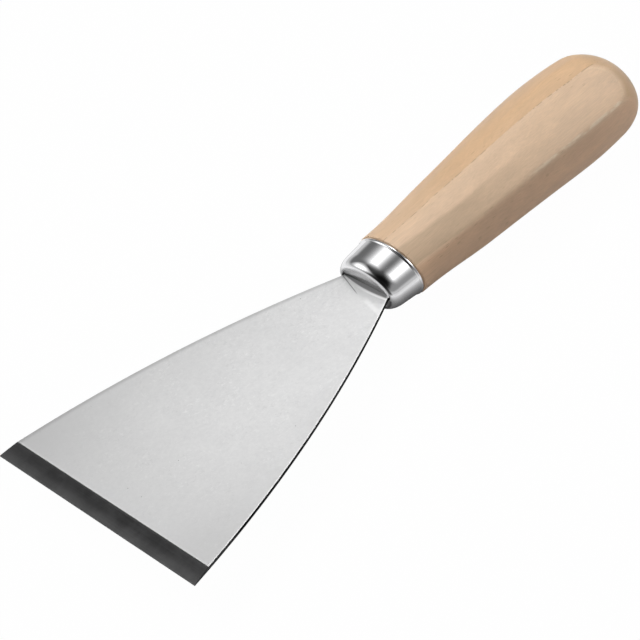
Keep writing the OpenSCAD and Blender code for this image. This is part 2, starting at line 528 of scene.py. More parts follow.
@dataclass(frozen=True)
class WoodFinish:
    """Bare sanded hardwood: pale, with a tan layer on one side, fine fibres and short dark pores.

    A pair is where an effect starts and ends, or its levels there. A run lies along the tool and a side
    across it, in millimetres. An edge is counted from an edge of the grip's faces, in tens of degrees, or
    from their end at the butt, as a share of the radius.
    """

    pale: Colour = (0.715, 0.512, 0.346)
    tan: Colour = (0.66, 0.435, 0.255)
    ruddy: Colour = (0.70, 0.455, 0.295)
    end_grain: Colour = (0.60, 0.40, 0.235)
    # Colour of the painted shade on the near sloped face
    painted_shade: Colour = (0.52, 0.375, 0.25)
    # Colour of the painted highlights towards the butt
    painted_light: Colour = (0.95, 0.82, 0.65)
    pore: Colour = (0.27, 0.15, 0.08)
    fuzz: float = 0.22
    fuzz_spread: float = 0.3
    fuzz_tint: Colour = (0.62, 0.68, 0.74)
    roughness: float = 0.52
    gloss_index: float = 1.45
    near_side: Pair = (0.0, 4.0)
    wobble: float = 0.10
    wobble_scale: Point = (0.15, 0.3, 0.3)
    tan_edge: Pair = (-0.04, 0.05)
    tan_run: Pair = (-45.0, -15.0)
    tan_at_root: float = 0.35
    ruddy_edge: Pair = (-0.8, 0.05)
    ruddy_share: float = 0.8
    dome_edge: Pair = (0.0, 0.05)
    dome_wobble: float = 0.2
    dome_share: float = 0.75
    shade_ridge_edge: Pair = (-0.35, 0.3)
    shade_wobble: float = 2.0
    shade_side_edge: Pair = (-0.2, 0.2)
    shade_run: Pair = (-69.0, -20.0)
    shade_share: float = 0.8
    patch_scale: Point = (0.35, 0.9, 0.9)
    rim_place: float = 0.08
    rim_edge: Pair = (0.05, 0.32)
    rim_run: Pair = (-62.0, -42.0)
    rim_patch: Pair = (0.36, 0.62)
    rim_share: float = 0.6
    end_place: float = -0.004
    end_edge: Pair = (0.0, 0.014)
    end_patch: Pair = (0.3, 0.6)
    end_from: float = -82.0
    end_highlight_share: float = 0.15
    seam_place: float = -0.02
    seam_edge: Pair = (0.015, 0.09)
    seam_share: float = 0.5
    dash_scale: Point = (0.42, 0.25, 0.25)
    dash_range: Pair = (0.45, 0.54)
    break_scale: Point = (0.07, 0.05, 0.05)
    break_shift: Point = (3.0, 0.0, 0.0)
    break_range: Pair = (0.36, 0.52)
    break_levels: Pair = (0.3, 1.0)
    cloud_scale: Point = (0.35, 1.0, 1.0)
    cloud_levels: Pair = (0.95, 1.05)
    cloud_rough: float = 0.12
    cloud_height: float = 0.5
    fibre_range: Pair = (0.3, 0.7)
    fibre_levels: Pair = (0.93, 1.07)
    fibre_height: float = 0.35
    pore_scale: Point = (0.30, 2.2, 2.2)
    pore_patch_scale: Point = (0.04, 0.2, 0.2)
    pore_patch: Pair = (0.45, 0.62)
    pore_levels: Pair = (0.05, 0.75)
    pore_share: float = 0.55
    pore_rough: float = 0.15
    pore_depth: float = 0.4
    relief: float = 0.05
    relief_strength: float = 0.6

    def _layers(self, coat: Coat, marks: Sequence[Wire]) -> Wire:
        """The wood's broad colours, with painted shade on the near sloped face towards the ferrule.

        Args:
            coat: the material.
            marks: where a place lies from the side edge, from the grain seam and from the end of the faces.

        Returns:
            The colour.
        """
        graph = coat.graph
        x, y, _ = graph.split(coat.where)
        near = graph.span(y, *self.near_side)
        wobble = self.wobble * (coat.grain(self.wobble_scale) - 0.5)
        far = graph.span(marks[1] + wobble, *self.tan_edge)
        far = far * graph.span(x, *self.tan_run, 1.0, self.tan_at_root)
        # Redder on the near side below the side edge, the side that lies in shade
        side = graph.fade(marks[0] + wobble, *self.ruddy_edge) * near
        dome = graph.span(marks[2] + self.dome_wobble * wobble, *self.dome_edge)
        under = graph.wire(graph.add("ShaderNodeAttribute", attribute_name=Handle.SLOPE).outputs["Fac"])
        # Painted shade on the near side's sloped face, between the side edge and the ridge, strongest
        # towards the ferrule
        painted_shade = graph.span(under + self.shade_wobble * wobble, *self.shade_ridge_edge) * near
        painted_shade = painted_shade * graph.span(marks[0], *self.shade_side_edge) * graph.span(x, *self.shade_run)
        colour = graph.blend(far, self.pale, self.tan)
        colour = graph.blend(painted_shade * self.shade_share, colour, self.painted_shade)
        colour = graph.blend(side * self.ruddy_share, colour, self.ruddy)
        return graph.blend(dome * self.dome_share, colour, self.end_grain)

    def _wear(self, coat: Coat, marks: Sequence[Wire], colour: Wire) -> Wire:
        """Painted highlights along the side edge and at the end of the faces towards the butt, and broken
        dark grain along the edge of the tan layer.

        Args:
            coat: the material.
            marks: where a place lies from the side edge, from the grain seam and from the end of the faces.
            colour: the wood's colour so far.

        Returns:
            The colour with its wear.
        """
        graph = coat.graph
        x = graph.split(coat.where)[0]
        patch = coat.grain(self.patch_scale, detail=3.0, roughness=0.6)
        # Painted highlight along the side edge of the faces towards the butt, in patches
        rim = graph.fade((marks[0] - self.rim_place).unsigned(), *self.rim_edge) * (marks[2] < 0.0)
        rim = rim * graph.fade(x, *self.rim_run) * graph.span(patch, *self.rim_patch)
        # Painted highlight along the end of the faces at the butt
        end = graph.fade((marks[2] - self.end_place).unsigned(), *self.end_edge) * (marks[0] > 0.0)
        end = end * graph.span(patch, *self.end_patch) * (x < self.end_from) * (marks[1] < 0.0)
        colour = graph.blend((rim * self.rim_share).most(end * self.end_highlight_share), colour, self.painted_light)
        dash = coat.grain(self.dash_scale, detail=3.0, roughness=0.7)
        breaks = coat.grain(self.break_scale, self.break_shift)
        seam = graph.fade((marks[1] - self.seam_place).unsigned(), *self.seam_edge)
        seam = seam * graph.span(dash, *self.dash_range)
        seam = seam * graph.span(breaks, *self.break_range, *self.break_levels)
        return graph.blend(seam * self.seam_share, colour, self.pore)

    def material(self, effects: Effects) -> bpy.types.Material:
        """Makes the wood.

        Args:
            effects: the shared effects.

        Returns:
            The material.
        """
        coat = Coat("bare hardwood")
        graph = coat.graph
        marks = graph.split(graph.add("ShaderNodeAttribute", attribute_name=Handle.MARKS).outputs["Vector"])
        colour = self._wear(coat, marks, self._layers(coat, marks))
        drawn = graph.mapped(coat.where, self.cloud_scale)
        clouds = graph.group(effects.mottle, Vector=drawn, Scale=0.09)["Value"]
        fibres = graph.group(effects.scratches, Vector=coat.where, Across=6.5, Along=0.14, Few=0.60)["Lines"]
        shade = graph.span(clouds, 0.0, 1.0, *self.cloud_levels)
        shade = shade * graph.span(fibres, *self.fibre_range, *self.fibre_levels)
        tone = graph.add("ShaderNodeCombineColor")
        for target in tone.inputs[:3]:
            graph.feed(target, shade)
        colour = graph.blend(1.0, colour, tone.outputs[0], "MULTIPLY")
        drawn = graph.mapped(coat.where, self.pore_scale)
        pores = graph.group(effects.specks, Vector=drawn, Size=0.30, Share=0.16)["Mask"]
        pores = pores * graph.span(coat.grain(self.pore_patch_scale), *self.pore_patch, *self.pore_levels)
        colour = graph.blend(pores * self.pore_share, colour, self.pore)
        coat.plain(Base_Color=colour, IOR=self.gloss_index)
        coat.plain(Sheen_Weight=self.fuzz, Sheen_Roughness=self.fuzz_spread, Sheen_Tint=self.fuzz_tint)
        coat.plain(Roughness=self.roughness + self.cloud_rough * (clouds - 0.5) + self.pore_rough * pores)
        height = self.fibre_height * fibres + self.pore_depth * (1.0 - pores) + self.cloud_height * clouds
        coat.bump(height, self.relief, self.relief_strength)
        return coat.material


@dataclass(frozen=True)
class ChromeFinish:
    """Mirror chrome with a faint haze and hair scratches, and painted shade in the fold behind the lip and
    on the lower lip.
    """

    colour: Colour = (0.83, 0.83, 0.84)
    hazy: Colour = (0.79, 0.79, 0.80)
    # Colour of the painted shade behind the lip and on the lower lip
    painted_dark: Colour = (0.04, 0.04, 0.04)
    roughness: float = 0.07
    haze_share: float = 0.5
    haze_rough: float = 0.05
    haze_height: float = 0.3
    scratch_turn: Point = (0.0, 18.0, 35.0)
    scratch_rough: float = 0.08
    scratch_depth: float = 0.1
    fold_half_w: float = 10.3
    fold_half_h: float = 6.4
    fold_edge: Pair = (0.012, 0.04)
    fold_x: Pair = (0.2, 0.7)
    fold_y: Pair = (0.0, 5.5)
    fold_z: Pair = (1.2, 2.2)
    fold_shade_share: float = 0.9
    under_edge: Pair = (0.93, 0.98)
    under_x: Pair = (0.6, 1.0)
    shade_top: float = -0.3
    lower_lip_shade_share: float = 0.75
    relief: float = 0.004
    relief_strength: float = 0.35

    def material(self, effects: Effects) -> bpy.types.Material:
        """Makes the chrome.

        Args:
            effects: the shared effects.

        Returns:
            The material.
        """
        coat = Coat("mirror chrome")
        graph = coat.graph
        haze = graph.group(effects.mottle, Vector=coat.where, Scale=0.16)["Value"]
        turned = graph.mapped(coat.where, turn=self.scratch_turn)
        scratch = graph.group(effects.scratches, Vector=turned, Across=3.0, Along=0.06, Few=0.66)["Mask"]
        x, y, z = graph.split(coat.where)
        place = ((y / self.fold_half_w) ** 2.0 + (z / self.fold_half_h) ** 2.0).root()
        # Painted shade: a dark line in the fold behind the upper lip on the near half, and a dark lower lip
        # inside the mouth
        fold = graph.fade((place - 1.0).unsigned(), *self.fold_edge) * graph.span(x, *self.fold_x)
        fold = fold * graph.span(y, *self.fold_y) * graph.span(z, *self.fold_z)
        under = graph.fade(place, *self.under_edge) * graph.span(x, *self.under_x) * (z < self.shade_top)
        colour = graph.blend(haze * self.haze_share, self.colour, self.hazy)
        colour = graph.blend(under * self.lower_lip_shade_share, colour, self.painted_dark)
        colour = graph.blend(fold * self.fold_shade_share, colour, self.painted_dark)
        coat.plain(Base_Color=colour, Metallic=1.0)
        coat.plain(Roughness=self.roughness + self.haze_rough * haze + self.scratch_rough * scratch)
        height = self.haze_height * haze + self.scratch_depth * (1.0 - scratch)
        coat.bump(height, self.relief, self.relief_strength)
        return coat.material


@dataclass(frozen=True)
class DishFinish:
    """Inside of the cap's mouth: drawn metal that no wheel has polished, with painted shade beside the slot
    and on the lower part of the mouth.
    """

    colour: Colour = (0.66, 0.66, 0.664)
    # Colours of the painted shade beside the slot and on the lower part of the mouth
    slot_shade_far: Colour = (0.15, 0.15, 0.15)
    slot_shade_near: Colour = (0.50, 0.50, 0.50)
    under: Colour = (0.26, 0.26, 0.26)
    slot_half: float = 0.9
    slot_rise: float = 1.2
    slot_side: Pair = (-7.0, 2.0)
    clear_run: float = 0.9
    half_width: float = 8.5
    shade_top: float = -0.5
    roughness: float = 0.15
    haze_wave: float = 0.5
    haze_rough: float = 0.12
    relief: float = 0.02
    relief_strength: float = 0.4

    def material(self, effects: Effects) -> bpy.types.Material:
        """Makes the dull metal.

        Args:
            effects: the shared effects.

        Returns:
            The material.
        """
        coat = Coat("drawn mouth")
        graph = coat.graph
        haze = graph.group(effects.mottle, Vector=coat.where, Scale=0.5)["Value"]
        _, y, z = graph.split(coat.where)
        # Painted shade beside the slot, darkest on the far side, and on the lower part of the mouth
        height = z.unsigned() + self.haze_wave * (haze - 0.5)
        edge = self.slot_half + self.slot_rise * (1.0 - (y / self.half_width) ** 2.0)
        slot = graph.blend(graph.span(y, *self.slot_side), self.slot_shade_far, self.slot_shade_near)
        colour = graph.blend(graph.fade(height, edge, edge + self.clear_run), self.colour, slot)
        coat.plain(Base_Color=graph.blend(z < self.shade_top, colour, self.under), Metallic=1.0)
        coat.plain(Roughness=self.roughness + self.haze_rough * haze)
        coat.bump(haze, self.relief, self.relief_strength)
        return coat.material


@dataclass(frozen=True)
class SheetFinish:
    """Satin spring steel, clouded from rolling, with fine pits, painted shade and painted highlights along
    its sides, and painted light and shade and a dark line at the neck.

    A pair is where an effect starts and ends, in millimetres or as a value of its noise. A mark that is a
    straight line in plan has a place that it passes through and a direction across it.
    """

    colour: Colour = (0.762, 0.762, 0.762)
    cloud: Colour = (0.692, 0.692, 0.695)
    dull: Colour = (0.55, 0.55, 0.55)
    bright: Colour = (0.97, 0.97, 0.97)
    dark: Colour = (0.16, 0.16, 0.16)
    ground: Colour = (0.045, 0.045, 0.045)
    metal: float = 0.45
    roughness: float = 0.40
    mouth_x: float = 1.40
    mouth_rise: float = 0.78
    mouth_middle: float = 1.5
    mouth_half: float = 8.5
    # The painted shadow beside the mouth and the painted reflections beyond it
    shadow_edge: Pair = (-0.2, 0.12)
    shadow_share: float = 0.85
    reflection_place: float = 0.5
    reflection_edge: Pair = (0.1, 0.45)
    reflection_side: Pair = (-5.0, 6.0)
    gleam_place: Pair = (5.11, 3.65)
    gleam_across: Pair = (0.969, -0.249)
    gleam_edge: Pair = (0.2, 1.1)
    gleam_side: Pair = (2.4, 5.0)
    gleam_share: float = 0.45
    # A thin dark straight line from the mouth's far corner
    dark_line_place: Pair = (1.65, -8.43)
    dark_line_across: Pair = (0.944, -0.33)
    dark_line_edge: Pair = (0.05, 0.22)
    dark_line_side: Pair = (-1.6, 0.9)
    dark_line_share: float = 0.75
    # Painted shade towards the working edge, towards both sides and on the far side
    tip_run: Pair = (55.0, 98.0)
    tip_shade: float = 0.44
    flank_side: Pair = (12.0, 38.0)
    flank_shade: float = 0.35
    far_side: Pair = (-22.0, 4.0)
    far_side_shade: float = 0.16
    # Painted highlights and painted dark reflections along the sides and just before the bevel
    near_highlight_line: Pair = (0.15, 0.6)
    near_highlight_share: float = 0.7
    far_dark_line: Pair = (0.2, 1.9)
    far_dark_share: float = 0.36
    border_run: Pair = (93.8, 94.3)
    border_highlight_share: float = 0.12
    dark_strip_run: Pair = (94.5, 94.65)
    cloud_share: float = 0.45
    grain_share: float = 0.55
    fleck_patch: Pair = (0.40, 0.62)
    fleck_levels: Pair = (0.25, 1.0)
    bright_flecks: Pair = (0.58, 0.70)
    bright_share: float = 0.32
    dull_flecks: Pair = (0.30, 0.42)
    dull_share: float = 0.34
    pit_scale: Point = (0.35, 0.35, 0.35)
    pit_share: float = 0.7
    pit_rough: float = 0.1
    pit_depth: float = 0.5
    haze_rough: float = 0.05
    cloud_height: float = 0.15
    grain_height: float = 0.3
    scratch_height: float = 0.08
    relief: float = 0.02
    relief_strength: float = 0.5

    @staticmethod
    def _off_line(x: Wire, y: Wire, place: Pair, across: Pair) -> Wire:
        """How far a place lies from a straight line in plan, in millimetres."""
        return ((x - place[0]) * across[0] + (y - place[1]) * across[1]).unsigned()

    def _neck(self, coat: Coat, colour: Wire) -> Wire:
        """The painted shadow of the cap, the painted reflections of its lip and the dark line beside its
        mouth.

        Args:
            coat: the material.
            colour: the steel's colour so far.

        Returns:
            The colour with the marks.
        """
        graph = coat.graph
        x, y, z = graph.split(coat.where)
        bulge = 1.0 - ((y - self.mouth_middle) / self.mouth_half) ** 2.0
        beyond = x - self.mouth_x - self.mouth_rise * bulge
        # Painted shadow of the cap on the blade, along an arc beside its mouth
        painted_shadow = graph.fade(beyond, *self.shadow_edge)
        # Painted reflection of the lip: a bright arc just beyond the painted shadow
        painted_reflection = graph.fade((beyond - self.reflection_place).unsigned(), *self.reflection_edge)
        painted_reflection = painted_reflection * graph.span(y, *self.reflection_side)
        # Painted reflection: a bright straight streak towards the near side of the neck
        gleam = graph.fade(self._off_line(x, y, self.gleam_place, self.gleam_across), *self.gleam_edge)
        gleam = gleam * graph.span(y, *self.gleam_side)
        # A thin dark straight line from the mouth's far corner
        dark_line = graph.fade(self._off_line(x, y, self.dark_line_place, self.dark_line_across), *self.dark_line_edge)
        dark_line = dark_line * graph.fade(y, *self.dark_line_side)
        light = painted_reflection.most(gleam * self.gleam_share) * (z > 0.0)
        neck_dark = (dark_line * self.dark_line_share).most(painted_shadow * self.shadow_share) * (z > 0.0)
        return graph.blend(neck_dark, graph.blend(light, colour, self.bright), self.dark)

    def _sides(self, coat: Coat, bow: Point, colour: Wire) -> Wire:
        """Painted shade towards the edge, the sides and the far side, a painted highlight inside the near
        side, a painted dark reflection inside the far side, and a painted bright band and a painted dark
        strip just before the bevel.

        Args:
            coat: the material.
            bow: the centre and the radius of the bowed side, in millimetres.
            colour: the steel's colour so far.

        Returns:
            The colour with the wear and the lines.
        """
        graph = coat.graph
        x, y, z = graph.split(coat.where)
        over_x = x - bow[0]
        over_y = y.unsigned() - bow[1]
        inside = bow[2] - (over_x * over_x + over_y * over_y).root()
        # Painted shade: darker towards the working edge, towards both sides and on the far side
        painted_light = self.tip_shade * graph.span(x, *self.tip_run)
        painted_light = painted_light + self.flank_shade * graph.span(y.unsigned(), *self.flank_side)
        painted_light = painted_light + self.far_side_shade * graph.fade(y, *self.far_side)
        # Painted highlight: a bright line just inside the near side
        near = graph.fade(inside, *self.near_highlight_line) * self.near_highlight_share * (y > 0.0)
        # Painted dark reflection: a dark line just inside the far side
        far = graph.span(inside, *self.far_dark_line, self.far_dark_share, 0.0) * (y < 0.0)
        # Painted highlight: a bright band just before the bevel
        border = graph.span(x, *self.border_run) * self.border_highlight_share * (z > 0.0)
        # Painted dark reflection: the bevel's dark colour carried a little onto the flat face
        ground = graph.span(x, *self.dark_strip_run) * (z > 0.0)
        colour = graph.blend(painted_light, colour, self.dull)
        colour = graph.blend(near, colour, self.bright)
        colour = graph.blend(border, colour, self.bright)
        colour = graph.blend(far, colour, self.dark)
        return graph.blend(ground, colour, self.ground)

    def material(self, effects: Effects, bow: Point) -> bpy.types.Material:
        """Makes the satin steel.

        Args:
            effects: the shared effects.
            bow: the centre and the radius of the bowed side, in millimetres.

        Returns:
            The material.
        """
        coat = Coat("satin steel")
        graph = coat.graph
        cloud = graph.group(effects.mottle, Vector=coat.where, Scale=0.055)["Value"]
        grain = graph.group(effects.mottle, Vector=coat.where, Scale=0.9)["Value"]
        spread = graph.mapped(coat.where, self.pit_scale)
        pit = graph.group(effects.specks, Vector=spread, Size=0.075, Share=0.10)["Mask"]
        lines = graph.group(effects.scratches, Vector=coat.where, Across=4.0, Along=0.05, Few=0.68)["Lines"]
        flecks = graph.noise(coat.where, 1.0, detail=2.0, roughness=0.55, warp=0.8)
        patches = graph.span(graph.noise(coat.where, 0.07), *self.fleck_patch, *self.fleck_levels)
        light = graph.span(flecks, *self.bright_flecks) * patches * self.bright_share
        faint = graph.fade(flecks, *self.dull_flecks) * patches * self.dull_share
        colour = graph.blend(cloud * self.cloud_share + grain * self.grain_share, self.colour, self.cloud)
        colour = graph.blend(light, colour, self.bright)
        colour = graph.blend(faint, colour, self.dull)
        colour = graph.blend(pit * self.pit_share, colour, self.dark)
        colour = self._sides(coat, bow, self._neck(coat, colour))
        coat.plain(Base_Color=colour, Metallic=self.metal)
        coat.plain(Roughness=self.roughness + self.haze_rough * (cloud + grain) + self.pit_rough * pit)
        height = self.cloud_height * cloud + self.grain_height * grain
        height = height + self.scratch_height * lines + self.pit_depth * (1.0 - pit)
        coat.bump(height, self.relief, self.relief_strength)
        return coat.material


@dataclass(frozen=True)
class GroundFinish:
    """Ground bevel: ground steel whose colour is painted dark for the dark reflection it shows, with fine
    wheel marks along the edge, and painted a little lighter towards the edge, where it is thin.
    """

    # Painted dark reflection: the ground steel's colour is very dark
    colour: Colour = (0.090, 0.090, 0.091)
    edge: Colour = (0.235, 0.235, 0.237)
    roughness: float = 0.24
    inner_x: float = 95.05
    even_run: float = 1.6
    edge_x: float = 100.45
    mark_turn: Point = (0.0, 0.0, 90.0)
    edge_light_share: float = 0.7
    line_share: float = 0.35
    haze_share: float = 0.2
    line_rough: float = 0.1
    haze_rough: float = 0.05
    mark_depth: float = 0.4
    relief: float = 0.006
    relief_strength: float = 0.5

    def material(self, effects: Effects) -> bpy.types.Material:
        """Makes the ground steel.

        Args:
            effects: the shared effects.

        Returns:
            The material.
        """
        coat = Coat("ground bevel")
        graph = coat.graph
        turned = graph.mapped(coat.where, turn=self.mark_turn)
        marks = graph.group(effects.scratches, Vector=turned, Across=5.0, Along=0.04, Few=0.64)
        lines = marks["Lines"]
        haze = graph.group(effects.mottle, Vector=coat.where, Scale=0.12)["Value"]
        # Painted light: a lighter tone towards the working edge
        near_edge = graph.span(graph.split(coat.where)[0], self.inner_x + self.even_run, self.edge_x)
        share = near_edge * self.edge_light_share + self.line_share * (lines - 0.5) + self.haze_share * haze
        coat.plain(Base_Color=graph.blend(share.clamped(), self.colour, self.edge), Metallic=1.0)
        coat.plain(Roughness=self.roughness + self.line_rough * lines + self.haze_rough * haze)
        coat.bump(lines + self.mark_depth * marks["Mask"], self.relief, self.relief_strength)
        return coat.material


@dataclass(frozen=True)
class ShearedFinish:
    """Sheared side of the sheet: dark scale with short marks across the thickness."""

    colour: Colour = (0.020, 0.020, 0.021)
    bright: Colour = (0.06, 0.06, 0.062)
    roughness: float = 0.42
    mark_turn: Point = (0.0, 90.0, 0.0)
    mark_share: float = 0.5
    haze_share: float = 0.4
    line_rough: float = 0.15
    relief: float = 0.02
    relief_strength: float = 0.6

    def material(self, effects: Effects) -> bpy.types.Material:
        """Makes the sheared steel.

        Args:
            effects: the shared effects.

        Returns:
            The material.
        """
        coat = Coat("sheared edge")
        graph = coat.graph
        upright = graph.mapped(coat.where, turn=self.mark_turn)
        marks = graph.group(effects.scratches, Vector=upright, Across=4.0, Along=0.4, Few=0.60)
        haze = graph.group(effects.mottle, Vector=coat.where, Scale=0.25)["Value"]
        share = self.mark_share * marks["Mask"] + self.haze_share * haze
        coat.plain(Base_Color=graph.blend(share, self.colour, self.bright), Metallic=1.0)
        coat.plain(Roughness=self.roughness + self.line_rough * (marks["Lines"] - 0.5))
        coat.bump(marks["Lines"], self.relief, self.relief_strength)
        return coat.material


def arc(centre: Pair, radius: float, start: float, end: float, steps: int) -> List[Pair]:
    """Points of an arc.

    Args:
        centre: its centre.
        radius: its radius.
        start: the angle of its first point, in degrees.
        end: the angle of its last point, in degrees.
        steps: how many steps it has.

    Returns:
        The points, from start to end.
    """
    angles = [math.radians(start + (end - start) * i / steps) for i in range(steps + 1)]
    return [(centre[0] + radius * math.cos(a), centre[1] + radius * math.sin(a)) for a in angles]


def between(first: Pair, last: Pair, steps: int) -> List[Pair]:
    """Points on a straight line in equal steps, without its two ends."""
    parts = [i / steps for i in range(1, steps)]
    return [(first[0] + (last[0] - first[0]) * t, first[1] + (last[1] - first[1]) * t) for t in parts]


def add_piece(name: str, mesh: bpy.types.Mesh) -> bpy.types.Object:
    """Puts a mesh in the scene as a piece at the origin.

    Args:
        name: the piece's name.
        mesh: the mesh.

    Returns:
        The piece.
    """
    piece = bpy.data.objects.new(name, mesh)
    bpy.context.scene.collection.objects.link(piece)
    return piece


def add_flat(name: str, half_x: float, half_y: float, material: bpy.types.Material) -> bpy.types.Object:
    """Puts a flat card in the scene, in the plane of X and Y around the origin.

    Args:
        name: the card's name.
        half_x: half of its size along X, in metres.
        half_y: half of its size along Y, in metres.
        material: what it is made of.

    Returns:
        The card.
    """
    mesh = bpy.data.meshes.new(name)
    signs = ((-1, -1), (1, -1), (1, 1), (-1, 1))
    mesh.from_pydata([(half_x * x, half_y * y, 0.0) for x, y in signs], [], [(0, 1, 2, 3)])
    mesh.materials.append(material)
    return add_piece(name, mesh)


def freeze(piece: bpy.types.Object) -> None:
    """Turns a piece with modifiers into a plain mesh.

    Args:
        piece: the piece.
    """
    bpy.context.view_layer.update()
    graph = bpy.context.evaluated_depsgraph_get()
    shown = piece.evaluated_get(graph)
    mesh = bpy.data.meshes.new_from_object(shown, preserve_all_data_layers=True, depsgraph=graph)
    piece.modifiers.clear()
    old = piece.data
    piece.data = mesh
    mesh.name = piece.name
    bpy.data.meshes.remove(old)


def shade(mesh: bpy.types.Mesh, sharp: float) -> None:
    """Shades a mesh smooth, with edges over an angle in degrees kept sharp."""
    mesh.shade_smooth()
    mesh.set_sharp_from_angle(angle=math.radians(sharp))


@dataclass
class Blade:
    """Flaring sheet with bowed sides, a ground bevel, a neck and a tang."""

    width: float = 80.0
    edge_x: float = 100.45
    mouth_x: float = 1.45
    seat_x: float = -2.95
    tip_x: float = -48.95
    thick: float = 1.0
    side_radius: float = 350.0
    neck_width: float = 17.6
    bevel: float = 5.4
    bevel_clear: float = 0.2
    edge_thick: float = 0.3
    edge_break: float = 0.09
    tang_width: float = 9.0
    tang_tip: float = 5.0
    side_steps: int = 64
    break_steps: int = 3
    sheet: SheetFinish = field(default_factory=SheetFinish)
    ground: GroundFinish = field(default_factory=GroundFinish)
    sheared: ShearedFinish = field(default_factory=ShearedFinish)

    FLAT_ANGLE = 0.3
    BREAK_ANGLE = 25.0
    FLAT_NORMAL = 0.9

    def ends(self) -> Tuple[Vector, Vector]:
        """The bowed side's two ends in plan, at the neck and at the working edge."""
        return Vector((self.mouth_x, self.neck_width / 2)), Vector((self.edge_x, self.width / 2))

    def bow(self) -> Vector:
        """Finds the bowed side's centre.

        Returns:
            The centre in plan.
        """
        start, end = self.ends()
        half = (end - start).length / 2
        along = (end - start).normalized()
        outward = Vector((-along.y, along.x))
        return (start + end) / 2 - outward * math.sqrt(self.side_radius ** 2 - half ** 2)

    def side(self) -> List[Pair]:
        """Draws the bowed side.

        Returns:
            Its points in plan, from the neck to the working edge.
        """
        centre = self.bow()
        first, last = [math.degrees(math.atan2(*(end - centre).yx)) for end in self.ends()]
        return arc(tuple(centre), self.side_radius, first, last, self.side_steps)

    def top(self, x: float) -> float:
        """Height of the upper face at a place along the blade."""
        fall = max(0.0, x - (self.edge_x - self.bevel)) / self.bevel
        return self.thick / 2 - fall * (self.thick - self.edge_thick)

    def plan(self) -> List[Pair]:
        """Draws half of the outline in plan, with a point on the bevel's inner line.

        Returns:
            The points, from the tip of the tang to the working edge.
        """
        tang = [(self.tip_x, self.tang_tip / 2), (self.seat_x, self.tang_width / 2)]
        neck = [(self.seat_x, self.neck_width / 2)]
        side = self.side()
        inner = self.edge_x - self.bevel
        before = [p for p in side if p[0] < inner - self.bevel_clear]
        after = [p for p in side if p[0] > inner + self.bevel_clear]
        low, high = before[-1], after[0]
        t = (inner - low[0]) / (high[0] - low[0])
        return tang + neck + before + [(inner, low[1] + (high[1] - low[1]) * t)] + after

    def build(self) -> bpy.types.Object:
        """Builds the blade as strips across the sheet, then breaks its edges.

        Returns:
            The piece.
        """
        made = bmesh.new()
        rows = []
        for x, y in self.plan():
            high, low = self.top(x), -self.thick / 2
            corners = ((x, y, high), (x, -y, high), (x, -y, low), (x, y, low))
            rows.append([made.verts.new(Vector(corner) * MM) for corner in corners])
        for near, far in zip(rows, rows[1:]):
            for i in range(4):
                j = (i + 1) % 4
                made.faces.new((near[i], near[j], far[j], far[i]))
        made.faces.new(reversed(rows[0]))
        made.faces.new(rows[-1])
        bmesh.ops.recalc_face_normals(made, faces=made.faces)
        limit = math.radians(self.FLAT_ANGLE)
        flat = [edge for edge in made.edges if edge.is_manifold and edge.calc_face_angle() < limit]
        bmesh.ops.dissolve_edges(made, edges=flat, use_verts=False)
        mesh = bpy.data.meshes.new("blade_sheet")
        made.to_mesh(mesh)
        made.free()
        piece = add_piece("blade_sheet", mesh)
        rounding = piece.modifiers.new("broken edges", "BEVEL")
        rounding.width = self.edge_break * MM
        rounding.segments = self.break_steps
        rounding.limit_method = "ANGLE"
        rounding.angle_limit = math.radians(self.BREAK_ANGLE)
        rounding.harden_normals = True
        freeze(piece)
        return piece

    def surface(self, face: bpy.types.MeshPolygon) -> BladeSurface:
        """Tells what kind of surface a face of the blade is.

        Args:
            face: the face.

        Returns:
            The kind of surface.
        """
        if abs(face.normal.z) < self.FLAT_NORMAL:
            return BladeSurface.SHEARED
        if face.normal.z > 0 and face.center.x > (self.edge_x - self.bevel) * MM:
            return BladeSurface.BEVEL
        return BladeSurface.SHEET

    def dress(self, piece: bpy.types.Object, effects: Effects) -> None:
        """Gives the blade its finishes and its place in the frame.

        Args:
            piece: the blade.
            effects: the shared effects.
        """
        piece.data.materials.append(self.sheet.material(effects, (*self.bow(), self.side_radius)))
        for finish in (self.ground, self.sheared):
            piece.data.materials.append(finish.material(effects))
        for face in piece.data.polygons:
            face.material_index = self.surface(face).value
        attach(piece, BODY)
        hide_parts("blade")


